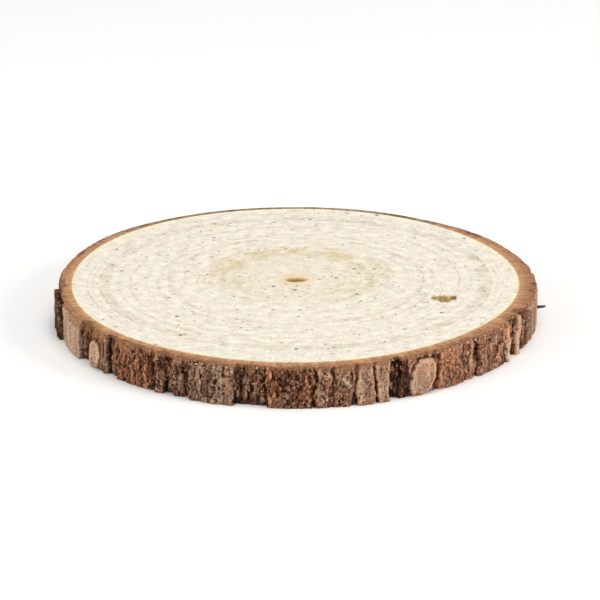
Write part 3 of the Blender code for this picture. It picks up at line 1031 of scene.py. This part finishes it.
class WOODSLICE_OT_bark(Operator):
    """Makes the ring of bark, with its plates, flakes and fissures"""

    bl_idname = "woodslice.bark"
    bl_label = "Bark"

    def execute(self, context):
        settings = context.scene.wood_slice.bark
        mesh = bark_mesh(settings)
        mesh.materials.append(outer_bark(settings))
        mesh.materials.append(inner_bark(settings))
        mesh.set_sharp_from_angle(angle=math.radians(62.0))
        piece = show("bark", mesh)
        stands_for_slice(piece)
        return {"FINISHED"}


def flake_mesh(name, seed):
    """One loose flake, about a millimetre long: a thin, bent, ragged sliver of few faces."""
    draw = random.Random(seed)
    bm = bmesh.new()
    bmesh.ops.create_cone(bm, cap_ends=True, segments=7, radius1=0.00020, radius2=0.00014, depth=0.00007)
    for vert in bm.verts:
        vert.co.x *= draw.uniform(0.7, 1.2)
        vert.co.y *= draw.uniform(1.8, 3.0)
        vert.co.z += 0.00015 * math.cos(vert.co.y / 0.00040) + draw.uniform(-1.0, 1.0) * 0.000012
    mesh = bpy.data.meshes.new(name)
    bm.to_mesh(mesh)
    bm.free()
    return mesh


def fibre_mesh():
    """One torn fibre, a millimetre long: a thin bent spike with three sides."""
    bm = bmesh.new()
    bmesh.ops.create_cone(bm, cap_ends=True, segments=3, radius1=0.00006, radius2=0.00001, depth=0.001)
    bmesh.ops.subdivide_edges(bm, edges=[e for e in bm.edges if e.calc_length() > 0.0005], cuts=3)
    for vert in bm.verts:
        along = vert.co.z / 0.001 + 0.5
        vert.co.z += 0.0005
        vert.co.x += 0.0003 * along * along
    mesh = bpy.data.meshes.new("fibre")
    bm.to_mesh(mesh)
    bm.free()
    return mesh


def scatter_tree(name, lean):
    """Copies of small meshes on the base's faces, as dense as an attribute says, leaning at random."""
    tree, put, given = new_modifier_tree(name, {
        "Shapes": "Collection", "Where": "String", "Count": "Int", "Smallest": "Float", "Largest": "Float",
        "Thickness": "Float", "Seed": "Int", "Material": "Material",
    })
    where = put("GeometryNodeInputNamedAttribute", {"Name": given["Where"]}, data_type="FLOAT")
    areas = put("GeometryNodeInputMeshFaceArea")
    weight = put(MATHS, [areas, where.outputs["Attribute"]], "MULTIPLY")
    total = put("GeometryNodeAttributeStatistic", {"Geometry": given["Geometry"], 2: weight}, domain="FACE")
    density = put(MATHS, [given["Count"], total.outputs["Sum"]], "DIVIDE")
    local = put(MATHS, [where.outputs["Attribute"], density], "MULTIPLY")
    points = put("GeometryNodeDistributePointsOnFaces", {
        "Mesh": given["Geometry"], "Density": local, "Seed": given["Seed"]})
    paler = put("FunctionNodeRandomValue", {2: -0.1, 3: 0.3, "Seed": given["Seed"]}, data_type="FLOAT")
    tone = put("GeometryNodeInputNamedAttribute", {"Name": "tone"}, data_type="FLOAT")
    lifted = put(MATHS, [tone, paler], "ADD")
    shown = points.outputs["Points"]
    # Each copy takes a tone near the bark's and a small fixed share of the fissures' painted shade
    for label, value in (("tone", lifted), ("deep", 0.15)):
        shown = put("GeometryNodeStoreNamedAttribute", {
            "Geometry": shown, "Name": label, "Value": value}, data_type="FLOAT", domain="POINT")
    turn = put("FunctionNodeRandomValue", {
        0: tuple(-a for a in lean), 1: lean, "Seed": given["Seed"]}, data_type="FLOAT_VECTOR")
    turned = put("FunctionNodeRotateRotation", {
        "Rotation": points.outputs["Rotation"],
        "Rotate By": put("FunctionNodeEulerToRotation", [turn])}, rotation_space="LOCAL")
    size = put("FunctionNodeRandomValue", {
        2: given["Smallest"], 3: given["Largest"], "Seed": given["Seed"]}, data_type="FLOAT")
    shapes = put("GeometryNodeCollectionInfo", {
        "Collection": given["Shapes"], "Separate Children": True, "Reset Children": True})
    copies = put("GeometryNodeInstanceOnPoints", {
        "Points": shown, "Instance": shapes, "Pick Instance": True, "Rotation": turned, "Scale": size})
    # Nothing stands above the sawn top or below the underside
    real = put("GeometryNodeRealizeInstances", {"Geometry": copies})
    at = put("ShaderNodeSeparateXYZ", [put("GeometryNodeInputPosition")])
    held = put("ShaderNodeClamp", {"Value": at.outputs[2], "Min": 0.0, "Max": given["Thickness"]})
    place = put("ShaderNodeCombineXYZ", [at.outputs[0], at.outputs[1], held])
    kept = put("GeometryNodeSetPosition", {"Geometry": real, "Position": place})
    finish_tree(put, kept, given["Material"])
    return tree


def scatter(name, lean, meshes, values):
    """Scatters the small meshes over the bark as one piece. The helpers that it needs are removed again."""
    bark = bpy.data.objects["bark"].data
    shapes = bpy.data.collections.new(name + "_shapes")
    for mesh in meshes:
        shapes.objects.link(bpy.data.objects.new(mesh.name, mesh))
    values = {"Shapes": shapes, "Thickness": THICKNESS, **values}
    piece = run_tree(name, scatter_tree(name, lean), values, base=bark)
    for helper in list(shapes.objects):
        bpy.data.objects.remove(helper)
    bpy.data.collections.remove(shapes)
    stands_for_slice(piece)


class WOODSLICE_OT_crumbs(Operator):
    """Scatters loose flakes of bark in the fissures and over the crumbly plates"""

    bl_idname = "woodslice.crumbs"
    bl_label = "Bark Crumbs"

    def execute(self, context):
        settings = context.scene.wood_slice.bark
        scatter("bark_crumbs", (0.30, 0.30, 0.5), [flake_mesh(f"flake_{i}", i) for i in range(4)], {
            "Where": "crumbly", "Count": settings.crumbs, "Smallest": 0.5, "Largest": 1.4,
            "Seed": 5, "Material": bpy.data.materials["weathered_outer_bark"],
        })
        return {"FINISHED"}


class WOODSLICE_OT_fibres(Operator):
    """Adds the fibres and slivers under the bark's top edge and where the bark is torn"""

    bl_idname = "woodslice.fibres"
    bl_label = "Torn Fibres"

    def execute(self, context):
        settings = context.scene.wood_slice.bark
        slivers = [fibre_mesh(), flake_mesh("sliver_0", 21), flake_mesh("sliver_1", 22)]
        scatter("torn_fibres", (1.35, 1.35, 3.1), slivers, {
            "Where": "torn", "Count": settings.fibres, "Smallest": 0.3, "Largest": 0.9,
            "Seed": 9, "Material": torn_fibre(settings),
        })
        return {"FINISHED"}


def splinter_mesh():
    """A blunt, slightly bent spike of dead wood, rooted in the bark."""
    draw = random.Random(3)
    angle = math.radians(SPLINTER_BEARING)
    outwards = Vector((math.cos(angle), math.sin(angle), 0.0))
    aside = Vector((-outwards.y, outwards.x, 0.0))
    start = wood_edge(SPLINTER_BEARING) + float(bark_thickness(np.array(SPLINTER_BEARING))) * MM
    root = Vector((*WOOD_CENTRE, SPLINTER_LEVEL * THICKNESS)) + outwards * (start - 0.8 * MM)
    sides, steps, reach = 10, 12, (0.8 + SPLINTER_MM) * MM
    places, faces = [], []
    for step in range(steps + 1):
        share = step / steps
        middle = root + outwards * reach * share + Vector((0.0, 0.0, 0.25 * MM * share * share))
        radius = (0.46 - 0.14 * share) * MM * math.sqrt(1.0 - 0.75 * share ** 10)
        for side in range(sides):
            turn = 2.0 * math.pi * side / sides
            rough = radius * (1.0 + 0.16 * math.sin(3.0 * turn + 1.0) + draw.uniform(-0.07, 0.07))
            up = Vector((0.0, 0.0, 0.8 * rough * math.sin(turn)))
            places.append(middle + aside * rough * math.cos(turn) + up)
    for step in range(steps):
        for side in range(sides):
            here, on = step * sides, (side + 1) % sides
            faces.append((here + side, here + on, here + sides + on, here + sides + side))
    faces.append(tuple(reversed(range(sides))))
    faces.append(tuple(range(steps * sides, (steps + 1) * sides)))
    mesh = bpy.data.meshes.new("splinter")
    mesh.from_pydata(places, [], faces)
    mesh.shade_smooth()
    return mesh


class WOODSLICE_OT_splinter(Operator):
    """Makes the splinter that stands out of the bark at the right"""

    bl_idname = "woodslice.splinter"
    bl_label = "Splinter"

    def execute(self, context):
        mesh = splinter_mesh()
        mesh.materials.append(dead_splinter(context.scene.wood_slice.bark))
        mesh.set_sharp_from_angle(angle=math.radians(50.0))
        stands_for_slice(show("splinter", mesh))
        return {"FINISHED"}


def look_at(obj, target):
    obj.rotation_euler = (Vector(target) - obj.location).to_track_quat("-Z", "Y").to_euler()


def area_light(name, place, target, size, power):
    light = bpy.data.lights.new(name, "AREA")
    light.size = size
    light.energy = power
    obj = bpy.data.objects.new(name, light)
    obj.location = place
    bpy.context.scene.collection.objects.link(obj)
    look_at(obj, target)


class WOODSLICE_OT_stage(Operator):
    """Sets the floor, the lights and the camera"""

    bl_idname = "woodslice.stage"
    bl_label = "Stage"

    def execute(self, context):
        stage = context.scene.wood_slice.stage
        bm = bmesh.new()
        bmesh.ops.create_circle(bm, cap_ends=True, segments=96, radius=FLOOR_RADIUS)
        mesh = bpy.data.meshes.new("floor")
        bm.to_mesh(mesh)
        bm.free()
        mesh.materials.append(floor_card(stage))
        floor = show("floor", mesh)
        floor.location.z = LOW[2] - FLOOR_GAP

        world = bpy.data.worlds.new("soft room")
        world.use_nodes = True
        world.node_tree.nodes.clear()
        put = partial(add_node, world.node_tree)
        # As bright as the floor where it meets the floor's edge, and half as bright from 6 degrees up
        up = put("ShaderNodeSeparateXYZ", [put("ShaderNodeTexCoord").outputs["Generated"]]).outputs[2]
        strength = put(RANGE, [up, 0.06, 0.11, 0.93, 0.50])
        sky = put("ShaderNodeBackground", {"Color": linear("FFFFFF"), "Strength": strength})
        put("ShaderNodeOutputWorld", {"Surface": sky})
        context.scene.world = world
        middle = [(a + b) / 2.0 for a, b in zip(LOW, HIGH)]
        for name, place, size, power in (
            ("right", (0.95, -0.35, 0.45), 0.50, 6.0),
            ("left", (-0.90, -0.40, 0.40), 0.50, 4.0),
            ("above", (0.10, -0.10, 1.00), 0.60, 5.0),
        ):
            area_light(name, place, middle, size, power)
        context.scene.view_settings.view_transform = "Standard"

        camera = bpy.data.objects.new("camera", bpy.data.cameras.new("camera"))
        context.scene.collection.objects.link(camera)
        camera.location = (
            middle[0],
            middle[1] - stage.distance * math.cos(stage.elevation),
            HIGH[2] + stage.distance * math.sin(stage.elevation),
        )
        look_at(camera, middle)
        seen = (HIGH[0] - LOW[0]) / stage.share
        camera.data.lens = camera.data.sensor_width * stage.distance / seen
        context.scene.camera = camera
        return {"FINISHED"}


STEPS = (
    WOODSLICE_OT_sawn_wood,
    WOODSLICE_OT_bark,
    WOODSLICE_OT_crumbs,
    WOODSLICE_OT_fibres,
    WOODSLICE_OT_splinter,
    WOODSLICE_OT_stage,
)


class WOODSLICE_PT_slice(Panel):
    bl_label = "Wood Slice"
    bl_idname = "WOODSLICE_PT_slice"
    bl_space_type = "VIEW_3D"
    bl_region_type = "UI"
    bl_category = "Wood Slice"

    def draw(self, context):
        settings = context.scene.wood_slice
        for step in STEPS:
            self.layout.operator(step.bl_idname)
        for group in (settings.wood, settings.bark, settings.stage):
            box = self.layout.box()
            for name in group.__annotations__:
                box.prop(group, name)


CLASSES = (WoodSettings, BarkSettings, StageSettings, SliceSettings, *STEPS, WOODSLICE_PT_slice)


def register():
    for cls in CLASSES:
        bpy.utils.register_class(cls)
    bpy.types.Scene.wood_slice = PointerProperty(type=SliceSettings)


def unregister():
    del bpy.types.Scene.wood_slice
    for cls in reversed(CLASSES):
        bpy.utils.unregister_class(cls)


def main():
    register()
    bpy.ops.woodslice.sawn_wood()
    bpy.ops.woodslice.bark()
    bpy.ops.woodslice.crumbs()
    bpy.ops.woodslice.fibres()
    bpy.ops.woodslice.splinter()
    bpy.ops.woodslice.stage()


if __name__ == "__main__":
    main()
